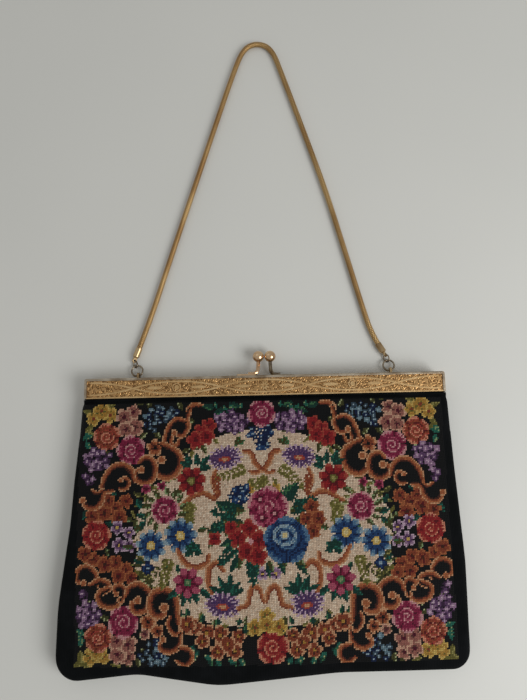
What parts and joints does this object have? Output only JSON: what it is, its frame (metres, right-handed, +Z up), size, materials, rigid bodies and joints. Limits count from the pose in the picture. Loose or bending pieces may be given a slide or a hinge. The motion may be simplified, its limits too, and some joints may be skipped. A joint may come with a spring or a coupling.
{
  "type": "framed evening handbag",
  "caption": "Small evening handbag with a petit point floral front, gilt ornamented hinged frame, kiss-lock ball clasp and snake chain handle, lying on its back.",
  "frame": {"origin": "middle of the bag's footprint without the chain, on the table under it", "axes": "+X along the frame from the left hinge to the right one, +Y towards the chain, +Z up from the table through the embroidered front"},
  "size_m": [0.2254, 0.3822, 0.0146],
  "materials": {
    "gilt": "satin",
    "plated_wire": "satin",
    "needlework": "matte",
    "black_cloth": "matte",
    "lining_satin": "satin",
    "twine": "matte"
  },
  "bodies": {
    "back_half": {"back_frame": "gilt", "left_hinge_rivet": "gilt", "right_hinge_rivet": "gilt", "back_clasp_spring": "gilt", "back_clasp_ball": "gilt", "left_chain_lug": "gilt", "right_chain_lug": "gilt", "front_panel": "needlework", "back_panel": "black_cloth", "seam_piping": "black_cloth", "front_lining": "lining_satin", "back_lining": "lining_satin", "back_channel_cord": "twine"},
    "front_half": {"front_frame": "gilt", "front_clasp_spring": "gilt", "front_clasp_ball": "gilt", "front_channel_cord": "twine"},
    "handle": {"left_jump_ring": "gilt", "right_jump_ring": "gilt", "left_chain_link": "plated_wire", "right_chain_link": "plated_wire", "left_end_cap": "gilt", "right_end_cap": "gilt", "snake_chain": "gilt"}
  },
  "joints": [
    {"name": "frame_open", "type": "hinge", "parent": "back_half", "child": "front_half", "pos_m": [0.0039, 0.05203, 0.006], "axis": [1, 0, 0], "range_deg": [0, 60], "deforming": ["front_panel", "front_lining"]},
    {"name": "handle_swing", "type": "hinge", "parent": "back_half", "child": "handle", "pos_m": [0.0039, 0.07693, 0.0032], "axis": [1, 0, 0], "range_deg": [0, 95]}
  ]
}
